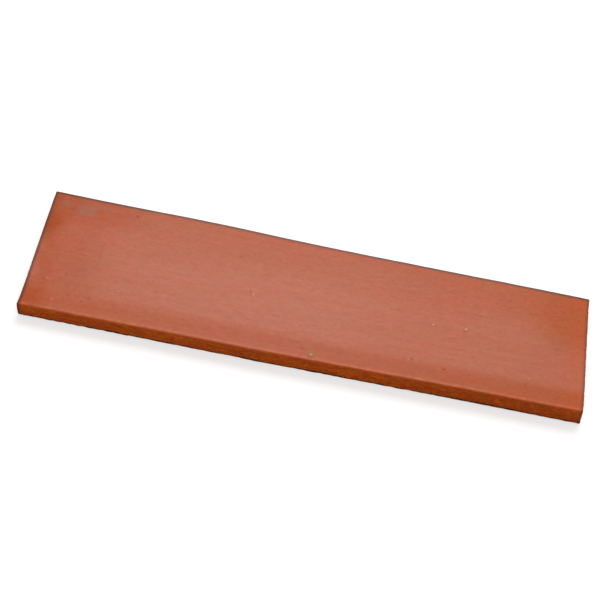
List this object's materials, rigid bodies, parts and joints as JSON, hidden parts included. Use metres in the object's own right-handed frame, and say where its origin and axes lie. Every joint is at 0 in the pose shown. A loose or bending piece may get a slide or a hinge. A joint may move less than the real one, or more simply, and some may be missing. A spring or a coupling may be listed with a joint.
{
  "type": "brick slip",
  "caption": "Long thin slip of fired red clay with a smooth flat face, rounded long edges, square cut ends and a keyed back to bond to a wall.",
  "frame": {"origin": "middle of the back, which is the face that beds in the adhesive", "axes": "+X along the slip, +Y across it, +Z out of the visible face"},
  "size_m": [0.3, 0.075, 0.012],
  "materials": {
    "fired_clay": "unglazed red clay with a faint satin bloom on the face"
  },
  "bodies": {
    "root": {"brick_slip": "fired_clay"}
  },
  "joints": []
}
